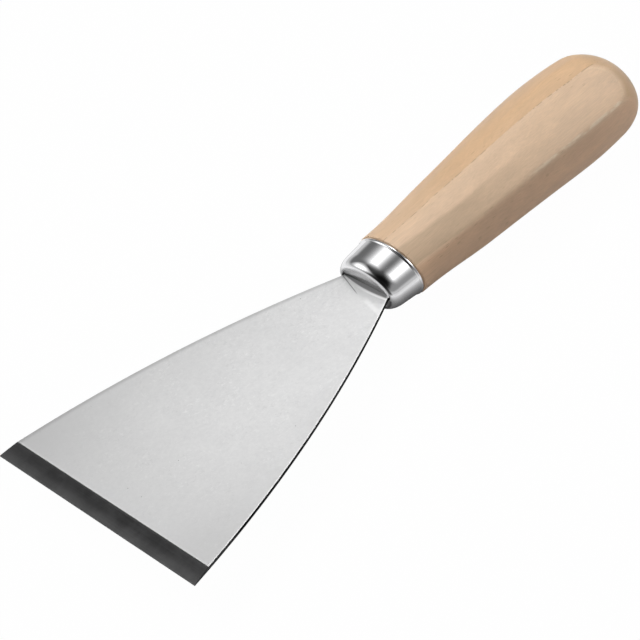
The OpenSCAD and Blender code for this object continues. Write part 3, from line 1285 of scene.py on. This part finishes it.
@dataclass
class Ferrule:
    """Drawn oval cap with a beaded rear rim, a round shoulder and a dished mouth slotted for the blade."""

    mouth_x: float = 1.45
    rim_x: float = -8.95
    oval_drop: float = 3.9
    wall: float = 0.7
    lip_radius: float = 0.30
    dish_half_w: float = 8.5
    dish_half_h: float = 1.6
    dish_depth: float = 0.6
    dish_power: float = 1.6
    floor_depth: float = 2.0
    floor_half: float = 8.79
    shoulder_radius: float = 2.2
    shoulder_run: float = 4.4
    shoulder_half: float = 9.3
    shoulder_start: float = 4.0
    bead_radius: float = 0.6
    bead_half: float = 11.7
    bead_rise: float = 0.33
    rim_share: float = 0.1
    groove_radius: float = 0.35
    taper: float = 3.84
    lip: float = 0.3
    slot_width: float = 17.8
    slot_height: float = 1.2
    around: int = 192
    dish_steps: int = 12
    lip_steps: int = 8
    shoulder_steps: int = 24
    wall_steps: int = 14
    groove_steps: int = 6
    bead_steps: int = 16
    inner_steps: int = 8
    fold_steps: int = 10
    finish: ChromeFinish = field(default_factory=ChromeFinish)
    dull: DishFinish = field(default_factory=DishFinish)

    MERGE = 0.0005
    SHARP = 28.0
    TINY = 1e-6

    def oval(self, place: Pair) -> Point:
        """A place on the outline as its x and the two half sizes of its ring."""
        return (place[0], place[1], place[1] - self.oval_drop)

    def dish(self) -> List[Point]:
        """Draws the dished mouth, which is steeper towards the lip.

        Returns:
            Its rings, from its foot at the slot to the lip.
        """
        rim = self.oval((self.mouth_x - self.lip_radius, self.shoulder_half - self.lip_radius))
        foot = (self.mouth_x - self.dish_depth, self.dish_half_w, self.dish_half_h)
        powers = (self.dish_power, 1.0, 1.0)
        shares = [i / self.dish_steps for i in range(self.dish_steps)]
        return [tuple(f + (r - f) * t ** power for f, r, power in zip(foot, rim, powers)) for t in shares]

    def outside(self) -> List[Point]:
        """Draws the outer wall: the lip, the shoulder, the side, the groove and the bead.

        Returns:
            Its rings, from the lip to the rear rim.
        """
        nose = (self.mouth_x - self.lip_radius, self.shoulder_half)
        thin_lip = arc(nose, self.lip_radius, -90, 0, self.lip_steps)
        slope = math.tan(math.radians(self.taper))
        last = math.degrees(math.atan2(self.shoulder_radius, self.shoulder_run * slope))
        unit = arc((0.0, 0.0), 1.0, self.shoulder_start, last, self.shoulder_steps)
        shoulder = [
            (self.mouth_x + self.shoulder_run * (x - 1), self.shoulder_half + self.shoulder_radius * y)
            for x, y in unit
        ]
        bead = (self.rim_x + self.bead_radius, self.bead_half)
        up = self.groove_radius + self.bead_radius - self.bead_rise
        out = math.sqrt((self.bead_radius + self.groove_radius) ** 2 - up ** 2)
        turn = math.degrees(math.atan2(up, out))
        hollow = (bead[0] + out, bead[1] + up)
        groove = arc(hollow, self.groove_radius, -90, -180 + turn, self.groove_steps)
        round_rear = arc(bead, self.bead_radius, turn, 180, self.bead_steps)
        side = between(shoulder[-1], groove[0], self.wall_steps)
        return [self.oval(p) for p in thin_lip + shoulder + side + groove + round_rear[1:]]

    def inside(self) -> List[Point]:
        """Draws the inner wall.

        Returns:
            Its rings, from the rear rim back to the floor.
        """
        shoulder = (self.mouth_x - self.shoulder_radius, self.shoulder_half)
        radius = self.shoulder_radius - self.wall
        start = math.degrees(math.asin((self.wall - self.lip) / radius))
        fold = arc(shoulder, radius, 90 - self.taper, start, self.fold_steps)
        back = (self.rim_x, self.bead_half - self.bead_radius * self.rim_share)
        floor = (self.mouth_x - self.floor_depth, self.floor_half)
        return [self.oval(p) for p in [back] + between(back, fold[0], self.inner_steps) + fold + [floor]]

    def ring(self, place: Point) -> List[Point]:
        """Draws a ring.

        Args:
            place: its x and its two half sizes.

        Returns:
            Its points.
        """
        x, half_w, half_h = place
        turns = [2 * math.pi * i / self.around for i in range(self.around)]
        return [(x, half_w * math.cos(a), half_h * math.sin(a)) for a in turns]

    def slot(self, x: float, shape: Sequence[Point]) -> List[Point]:
        """Draws the slot's edge at a place along the tool.

        Args:
            x: the place.
            shape: the ring round the slot.

        Returns:
            One point for each point of the ring.
        """
        half_w, half_h = self.slot_width / 2, self.slot_height / 2
        points = []
        for _, y, z in shape:
            reach = min(1.0, half_w / max(abs(y), self.TINY), half_h / max(abs(z), self.TINY))
            points.append((x, y * reach, z * reach))
        return points

    def build(self) -> bpy.types.Object:
        """Builds the cap as one closed wall of rings, with the dish and the slot in a slot of their own.

        Returns:
            The piece.
        """
        dish, outer, inner = self.dish(), self.outside(), self.inside()
        rings = [self.ring(p) for p in dish + outer + inner]
        rings.append(self.slot(inner[-1][0], rings[-1]))
        rings.append(self.slot(dish[0][0], rings[0]))
        dull = set(range(len(dish))) | {len(rings) - 2, len(rings) - 1}
        made = bmesh.new()
        rows = [[made.verts.new(Vector(p) * MM) for p in ring] for ring in rings]
        for step, (near, far) in enumerate(zip(rows, rows[1:] + rows[:1])):
            for i in range(self.around):
                j = (i + 1) % self.around
                made.faces.new((near[i], near[j], far[j], far[i])).material_index = int(step in dull)
        bmesh.ops.remove_doubles(made, verts=made.verts, dist=self.MERGE * MM)
        bmesh.ops.recalc_face_normals(made, faces=made.faces)
        mesh = bpy.data.meshes.new("ferrule_cap")
        made.to_mesh(mesh)
        made.free()
        shade(mesh, self.SHARP)
        return add_piece("ferrule_cap", mesh)

    def dress(self, piece: bpy.types.Object, effects: Effects) -> None:
        """Gives the cap its finishes and its place in the frame.

        Args:
            piece: the cap.
            effects: the shared effects.
        """
        for finish in (self.finish, self.dull):
            piece.data.materials.append(finish.material(effects))
        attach(piece, BODY)
        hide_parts("ferrule")


@dataclass
class Handle:
    """Pear-shaped grip whose section goes from the ferrule's oval to eight soft faces and a domed butt.

    Its sizes and its counts are the inputs of the tree that lays it.
    """

    rim_x: float = -8.95
    seat_x: float = -2.95
    swell: float = 71.7
    butt: float = 19.8
    root_half_w: float = 12.5
    root_half_h: float = 8.6
    full_half_w: float = 15.8
    full_half_h: float = 14.1
    tenon_half_w: float = 11.2
    tenon_half_h: float = 7.3
    power_w: float = 2.2
    power_h: float = 2.5
    butt_power: float = 2.4
    flatness: float = 0.8
    under_cut: float = 0.10
    under_start: float = 16.0
    under_end: float = 55.0
    face_taper: float = 0.085
    taper_start: float = 66.0
    taper_run: float = 20.0
    face_run: float = 25.0
    ridge_fade: float = 0.7
    side_edge_root: float = 34.0
    side_edge_fall: float = 8.0
    ridge_root: float = 68.0
    ridge_fall: float = 17.0
    top_edge_root: float = 86.0
    top_edge_fall: float = 7.0
    seam_root: float = 94.0
    seam_fall: float = 15.0
    root_round: float = 0.35
    soft_start: float = 14.0
    crisp_start: float = 46.0
    crisp_end: float = 64.0
    crisp_soft: float = 0.3
    rows: int = 232
    around: int = 224
    softening: int = 16
    finish: WoodFinish = field(default_factory=WoodFinish)

    SOCKETS = {float: "NodeSocketFloat", int: "NodeSocketInt"}
    MARKS = "marks"
    SLOPE = "slope"
    FREE = "free"
    MARK_STEP = 10.0
    SEAM_START = 0.28
    TENON_ROWS = 3
    SWELL_SHARE = 0.68
    ROW_POWER = 1.4
    MERGE = 0.002
    SHARP = 40.0

    def _open(self, tree: bpy.types.NodeTree) -> None:
        """Gives the tree its named inputs and its output.

        Args:
            tree: the tree.
        """
        tree.interface.new_socket(name="Geometry", in_out="OUTPUT", socket_type="NodeSocketGeometry")
        for part in fields(self):
            if part.type in self.SOCKETS:
                kind = self.SOCKETS[part.type]
                tree.interface.new_socket(name=part.name, in_out="INPUT", socket_type=kind)
        tree.interface.new_socket(name="material", in_out="INPUT", socket_type="NodeSocketMaterial")

    @staticmethod
    def _chord(graph: Graph, angle: Wire, start: Wire, end: Wire) -> Wire:
        """The share of the radius that a flat face between two edges takes off at an angle, in degrees."""
        return 1.0 - graph.cos((end - start) * 0.5) / graph.cos(angle - (start + end) * 0.5)

    def _section(
        self, graph: Graph, size: Callable[[str], Wire], run: Wire, angle: Wire
    ) -> Tuple[Wire, ...]:
        """The faces round the grip.

        Args:
            graph: the tree.
            size: gives a named input as a wire.
            run: how far along the swell, from 0 to 1.
            angle: the angle round the grip, in degrees.

        Returns:
            What the faces take off at the angle, at the side and at the top, and how far the angle lies
            from the side edge, from the grain seam and below the ridge, in tens of degrees.
        """
        fold = graph.math("PINGPONG", angle, 90.0)
        side, ridge, top = [
            size(name + "_root") - size(name + "_fall") * run for name in ("side_edge", "ridge", "top_edge")
        ]
        fade = size("ridge_fade") * run.eased()
        on_side = self._chord(graph, fold, side * -1.0, side)
        on_top = self._chord(graph, fold, top, 180.0 - top)
        whole = self._chord(graph, fold, side, top)
        lower = self._chord(graph, fold, side, ridge)
        upper = self._chord(graph, fold, ridge, top)
        sloped = whole * fade + (fold < ridge).choose(lower, upper) * (1.0 - fade)
        cut = (fold < side).choose(on_side, (fold < top).choose(sloped, on_top))
        from_side = (fold - side) / self.MARK_STEP
        seam_run = ((run - self.SEAM_START) / (1.0 - self.SEAM_START)).clamped()
        seam = size("seam_root") - size("seam_fall") * seam_run
        from_seam = (graph.math("PINGPONG", angle, 180.0) - seam) / self.MARK_STEP
        under = (ridge - fold) / self.MARK_STEP
        return cut, 1.0 - graph.cos(side), 1.0 - graph.cos(90.0 - top), from_side, from_seam, under

    def tree(self) -> bpy.types.NodeTree:
        """Builds the tree that lays a grid on the grip's rule.

        Returns:
            The tree.
        """
        tree = bpy.data.node_groups.new("grip", "GeometryNodeTree")
        self._open(tree)
        graph = Graph(tree)
        given = graph.add("NodeGroupInput")

        def size(name: str) -> Wire:
            """A named input."""
            return graph.wire(given.outputs[name])

        grid = graph.add("GeometryNodeMeshGrid")
        graph.feed(grid.inputs["Size X"], 1.0)
        graph.feed(grid.inputs["Size Y"], 1.0)
        graph.feed(grid.inputs["Vertices X"], size("rows"))
        graph.feed(grid.inputs["Vertices Y"], size("around") + 1.0)
        along, across, _ = graph.split(graph.add("GeometryNodeInputPosition").outputs[0])
        last = size("rows") - 1.0
        row = graph.math("ROUND", (along + 0.5) * last)
        angle = (across + 0.5) * 360.0

        # How far along the swell and the butt a row lies
        part = ((row - float(self.TENON_ROWS)) / (last - float(self.TENON_ROWS))).clamped()
        depth = size("swell") * (part / self.SWELL_SHARE).least(1.0) ** self.ROW_POWER
        rest = 1.0 - ((part - self.SWELL_SHARE) / (1.0 - self.SWELL_SHARE)).most(0.0)
        dome = 1.0 - rest * rest
        run = depth / size("swell")
        total = depth + size("butt") * dome

        # The section's half sizes, its faces and the dome that ends them
        cut, cut_side, cut_top, from_side, from_seam, under = self._section(graph, size, run, angle)
        flat = size("flatness") * (depth / size("face_run")).least(1.0).eased()
        limit = (1.0 - dome ** size("butt_power")).most(0.0) ** (1.0 / size("butt_power"))
        lift = graph.sin(90.0 * run)
        half_w = size("root_half_w") + (size("full_half_w") - size("root_half_w")) * lift ** size("power_w")
        half_h = size("root_half_h") + (size("full_half_h") - size("root_half_h")) * lift ** size("power_h")
        short = 1.0 - (depth / size("root_round")).least(1.0)
        ease_in = size("root_round") * (1.0 - (1.0 - short * short).most(0.0).root())
        below = (graph.sin(angle) < 0.0) * graph.sin(2.0 * angle) ** 2.0
        below = below * graph.span(depth, size("under_start"), size("under_end")) * size("under_cut")
        taper = size("face_taper") * ((total - size("taper_start")) / size("taper_run")).most(0.0) ** 2.0
        faces = (1.0 - flat * cut) * (1.0 - taper)
        reach = limit.least(faces) * (1.0 - below)
        out_w = (half_w - ease_in) / (1.0 - flat * cut_side) * reach
        out_h = (half_h - ease_in) / (1.0 - flat * cut_top) * reach

        # The first rows make the tenon and its closed end
        tenon = row < self.TENON_ROWS - 0.5
        pole = 1.0 - (row < 0.5)
        out_w = tenon.choose(size("tenon_half_w") * pole, out_w)
        out_h = tenon.choose(size("tenon_half_h") * pole, out_h)
        place_x = (row < self.TENON_ROWS - 1.5).choose(size("seat_x"), size("rim_x") - total)
        place = graph.join(place_x * MM, out_w * graph.cos(angle) * MM, out_h * graph.sin(angle) * MM)

        # What the softening and the finish read is stored before the grid is laid
        free = graph.span(depth, 0.0, size("soft_start"))
        free = free * graph.span(depth, size("crisp_start"), size("crisp_end"), 1.0, size("crisp_soft"))
        marks = graph.join(from_side, from_seam, faces - limit)
        shape = grid.outputs["Mesh"]
        stored = (
            (self.FREE, free, "FLOAT"),
            (self.SLOPE, under, "FLOAT"),
            (self.MARKS, marks, "FLOAT_VECTOR"),
        )
        for name, value, kind in stored:
            values = {"Name": name, "Value": value}
            settings = {"data_type": kind, "domain": "POINT"}
            shape = graph.shaped(shape, "GeometryNodeStoreNamedAttribute", values, **settings)
        shape = graph.shaped(shape, "GeometryNodeSetPosition", {"Position": place})
        self._close(graph, shape, given)
        return tree

    def _close(self, graph: Graph, shape: bpy.types.NodeSocket, given: bpy.types.Node) -> None:
        """Closes the grid, softens the edges between the faces and ends the tree.

        Args:
            graph: the tree.
            shape: the grid on the grip's rule.
            given: the tree's input node.
        """
        shape = graph.shaped(shape, "GeometryNodeMergeByDistance", {"Distance": self.MERGE * MM})
        freedom = graph.add("GeometryNodeInputNamedAttribute", data_type="FLOAT")
        freedom.inputs["Name"].default_value = self.FREE
        blur = graph.add("GeometryNodeBlurAttribute", data_type="FLOAT_VECTOR")
        graph.feed(live(blur.inputs, "Value"), graph.add("GeometryNodeInputPosition").outputs[0])
        graph.feed(blur.inputs["Iterations"], given.outputs["softening"])
        graph.feed(blur.inputs["Weight"], freedom.outputs["Attribute"])
        shape = graph.shaped(shape, "GeometryNodeSetPosition", {"Position": live(blur.outputs, "Value")})
        shape = graph.shaped(shape, "GeometryNodeRemoveAttribute", {"Name": self.FREE})
        shape = graph.shaped(shape, "GeometryNodeRealizeInstances", {})
        shape = graph.shaped(shape, "GeometryNodeSetMaterial", {"Material": given.outputs["material"]})
        graph.feed(graph.add("NodeGroupOutput").inputs["Geometry"], shape)

    def build(self, effects: Effects) -> bpy.types.Object:
        """Builds the grip and turns it into a plain mesh.

        Args:
            effects: the shared effects.

        Returns:
            The piece.
        """
        piece = add_piece("handle_grip", bpy.data.meshes.new("handle_grip"))
        modifier = piece.modifiers.new("grip", "NODES")
        tree = self.tree()
        modifier.node_group = tree
        sockets = {s.name: s.identifier for s in tree.interface.items_tree if s.in_out == "INPUT"}
        modifier[sockets.pop("material")] = self.finish.material(effects)
        for name, identifier in sockets.items():
            modifier[identifier] = getattr(self, name)
        freeze(piece)
        made = bmesh.new()
        made.from_mesh(piece.data)
        bmesh.ops.recalc_face_normals(made, faces=made.faces)
        made.to_mesh(piece.data)
        made.free()
        shade(piece.data, self.SHARP)
        return piece

    def dress(self, piece: bpy.types.Object) -> None:
        """Gives the grip its place in the frame.

        Args:
            piece: the grip.
        """
        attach(piece, BODY)
        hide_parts("handle")


@dataclass(frozen=True)
class Softbox:
    """A soft light that faces the middle of the tool and falls off towards its edges, in metres."""

    name: str
    azimuth: float
    elevation: float
    distance: float
    width: float
    height: float
    level: float
    fall: float = 1.0
    reach: Reach = Reach.ALL

    def material(self) -> bpy.types.Material:
        """Makes the light's face.

        Returns:
            The material.
        """
        material, graph, surface = new_material(self.name)
        x, y, _ = graph.split(graph.add("ShaderNodeTexCoord").outputs["Object"])
        sides = (1.0 - x.unsigned() / (self.width / 2)).clamped() ** self.fall
        ends = (1.0 - y.unsigned() / (self.height / 2)).clamped() ** self.fall
        glow = graph.add("ShaderNodeEmission")
        graph.feed(glow.inputs["Strength"], sides * ends * self.level)
        both = graph.add("ShaderNodeAddShader")
        graph.feed(both.inputs[0], glow.outputs[0])
        graph.feed(both.inputs[1], graph.add("ShaderNodeBsdfTransparent").outputs[0])
        graph.feed(surface, both.outputs[0])
        return material

    def build(self) -> None:
        """Makes the light."""
        box = add_flat(self.name, self.width / 2, self.height / 2, self.material())
        turn, rise = math.radians(self.azimuth), math.radians(self.elevation)
        out = Vector((math.cos(turn) * math.cos(rise), math.sin(turn) * math.cos(rise), math.sin(rise)))
        box.location = out * self.distance
        box.rotation_euler = out.to_track_quat("Z", "Y").to_euler()
        box.visible_camera = False
        box.visible_glossy = self.reach != Reach.MATT
        box.visible_diffuse = self.reach != Reach.METAL


@dataclass(frozen=True)
class ShadowCard:
    """A dark card with soft edges under the cap, as a painted shadow of the floor, so that its lower side
    mirrors no bright floor.
    """

    name: str
    centre: Point
    half_x: float
    half_y: float
    strength: float
    colour: Colour = (0.02, 0.02, 0.02)

    def material(self) -> bpy.types.Material:
        """Makes the card's face.

        Returns:
            The material.
        """
        material, graph, surface = new_material(self.name)
        x, y, _ = graph.split(graph.add("ShaderNodeTexCoord").outputs["Object"])
        sides = graph.fade(x.unsigned() / (self.half_x * MM), 0.0, 1.0)
        ends = graph.fade(y.unsigned() / (self.half_y * MM), 0.0, 1.0)
        dark = graph.add("ShaderNodeBsdfDiffuse")
        graph.feed(dark.inputs["Color"], self.colour)
        clear = graph.add("ShaderNodeBsdfTransparent")
        graph.feed(surface, graph.layer(sides * ends * self.strength, clear, dark))
        return material

    def build(self) -> None:
        """Makes the card, which only mirrors see."""
        card = add_flat(self.name, self.half_x * MM, self.half_y * MM, self.material())
        card.location = Vector(self.centre) * MM
        card.visible_camera = False
        card.visible_diffuse = False
        card.visible_shadow = False


@dataclass
class Studio:
    """White floor and surroundings, soft lamps and the camera.

    The floor's height is in millimetres, and its other sizes and the camera's place are in metres. A pair
    in the surroundings is where a change starts and ends, as a part of a ray's direction.
    """

    floor_z: float = -14.1
    floor_half: float = 4.0
    floor_colour: Colour = (0.66, 0.66, 0.66)
    floor_white: float = 0.985
    floor_gloss: float = 0.60
    floor_gloss_far: float = 0.97
    floor_border: Pair = (-0.06, 0.0)
    ambient: float = 0.08
    wall_dark: float = 0.20
    wall_light: float = 0.38
    wall_turn: Pair = (-0.75, 0.35)
    ceiling: float = 0.28
    ceiling_rise: Pair = (0.6, 0.9)
    horizon_far: float = 0.60
    horizon_front: float = 0.82
    horizon_near: float = 0.40
    horizon_front_turn: Pair = (-0.1, 0.25)
    horizon_near_turn: Pair = (-0.5, 0.4)
    horizon_rise: Pair = (0.12, 0.34)
    gap: Point = (0.55, 0.25, 0.80)
    gap_edge: Pair = (0.78, 0.97)
    gap_dark: float = 0.05
    lens: float = 146.25
    sensor: float = 36.0
    clip: Pair = (0.01, 50.0)
    eye: Point = (0.292753, 0.44584, 0.447679)
    back: Point = (0.399241, 0.648272, 0.648344)
    up: Point = (-0.58999, -0.359629, 0.722896)
    lamps: Tuple[Softbox, ...] = (
        Softbox("key_box", 308.0, 65.0, 0.80, 0.60, 0.60, 10.5, 0.5, Reach.MATT),
        Softbox("rear_box", 234.0, 58.0, 0.95, 0.93, 1.20, 2.6, 2.2),
        Softbox("side_box", 128.0, 56.0, 0.95, 1.15, 1.15, 3.2, 2.3),
        Softbox("blade_lamp", 215.0, 50.0, 1.60, 0.46, 0.46, 10.0, 0.5, Reach.METAL),
        Softbox("front_box", 302.0, 37.0, 0.95, 0.85, 0.80, 2.4, 1.0, Reach.METAL),
        Softbox("butt_box", 159.0, 35.0, 0.31, 0.12, 0.12, 8.0, 0.5),
    )
    # Painted shadow under the cap, seen only in mirrors
    flag: ShadowCard = ShadowCard("cap_shadow_card", (-8.0, 0.0, -11.0), 60.0, 56.0, 0.9)

    def camera(self) -> None:
        """Makes the camera at the photograph's place."""
        data = bpy.data.cameras.new("camera")
        data.lens = self.lens
        data.sensor_width = self.sensor
        data.sensor_fit = "HORIZONTAL"
        data.clip_start, data.clip_end = self.clip
        camera = bpy.data.objects.new("camera", data)
        z_axis = Vector(self.back).normalized()
        x_axis = Vector(self.up).cross(z_axis).normalized()
        y_axis = z_axis.cross(x_axis)
        matrix = Matrix((x_axis, y_axis, z_axis)).transposed().to_4x4()
        matrix.translation = Vector(self.eye)
        camera.matrix_world = matrix
        bpy.context.scene.collection.objects.link(camera)
        bpy.context.scene.camera = camera

    @staticmethod
    def _rays(graph: Graph) -> Tuple[Wire, Wire]:
        """Tells rays apart.

        Args:
            graph: the tree.

        Returns:
            Masks of the rays from the camera, straight or through glass, and of those from a mirror.
        """
        rays = graph.add("ShaderNodeLightPath")
        names = ("Is Camera Ray", "Is Transmission Ray", "Is Glossy Ray")
        direct, through, mirrored = [graph.wire(rays.outputs[name]) for name in names]
        return direct.most(through), mirrored

    def floor(self) -> None:
        """Lays the white floor, which keeps a trace of the tool's soft shadow."""
        material, graph, surface = new_material("white floor")
        paint = graph.add("ShaderNodeBsdfDiffuse")
        graph.feed(paint.inputs["Color"], self.floor_colour)
        glow = graph.add("ShaderNodeEmission")
        seen, mirrored = self._rays(graph)
        across = graph.split(graph.add("ShaderNodeTexCoord").outputs["Object"])[1]
        gloss = graph.span(across, *self.floor_border, self.floor_gloss_far, self.floor_gloss)
        share = (seen * self.floor_white).most(mirrored * gloss)
        graph.feed(surface, graph.layer(share, paint, glow))
        piece = add_flat("floor", self.floor_half, self.floor_half, material)
        piece.location = (0.0, 0.0, self.floor_z * MM)

    def surroundings(self) -> None:
        """Makes the world: white to the eye, a studio to metal, and even fill for the rest."""
        world = bpy.data.worlds.new("studio")
        world.use_nodes = True
        bpy.context.scene.world = world
        graph = Graph(world.node_tree)
        seen, mirrored = self._rays(graph)
        x, y, z = graph.split(graph.add("ShaderNodeTexCoord").outputs["Generated"])
        wall = graph.span(y, *self.wall_turn, self.wall_dark, self.wall_light)
        wall = wall * graph.span(z, *self.ceiling_rise, 1.0, self.ceiling)
        far = graph.span(x, *self.horizon_front_turn, self.horizon_far, self.horizon_front)
        horizon = graph.span(y, *self.horizon_near_turn, far, self.horizon_near)
        wall = wall + horizon * graph.fade(z, *self.horizon_rise)
        facing = x * self.gap[0] + y * self.gap[1] + z * self.gap[2]
        wall = wall * graph.span(facing, *self.gap_edge, 1.0, self.gap_dark)
        light = graph.add("ShaderNodeBackground")
        graph.feed(light.inputs["Strength"], seen.choose(1.0, mirrored.choose(wall, self.ambient)))
        output = graph.add("ShaderNodeOutputWorld")
        graph.feed(output.inputs["Surface"], light.outputs[0])

    def build(self) -> None:
        """Makes the camera, the floor, the surroundings and the lamps."""
        self.camera()
        self.floor()
        self.surroundings()
        for lamp in self.lamps:
            lamp.build()
        self.flag.build()
        bpy.context.scene.view_settings.view_transform = "Standard"


def report(piece: bpy.types.Object) -> None:
    """Logs a piece's name and how many faces it has."""
    log.info("%s: %d faces", piece.name, len(piece.data.polygons))


def main() -> None:
    """Builds the studio and the three pieces of the knife."""
    logging.basicConfig(level=logging.INFO, format="%(name)s %(message)s")
    Studio().build()
    effects = Effects()
    blade = Blade()
    sheet = blade.build()
    blade.dress(sheet, effects)
    report(sheet)
    ferrule = Ferrule()
    cap = ferrule.build()
    ferrule.dress(cap, effects)
    report(cap)
    handle = Handle()
    grip = handle.build(effects)
    handle.dress(grip)
    report(grip)


if __name__ == "__main__":
    main()
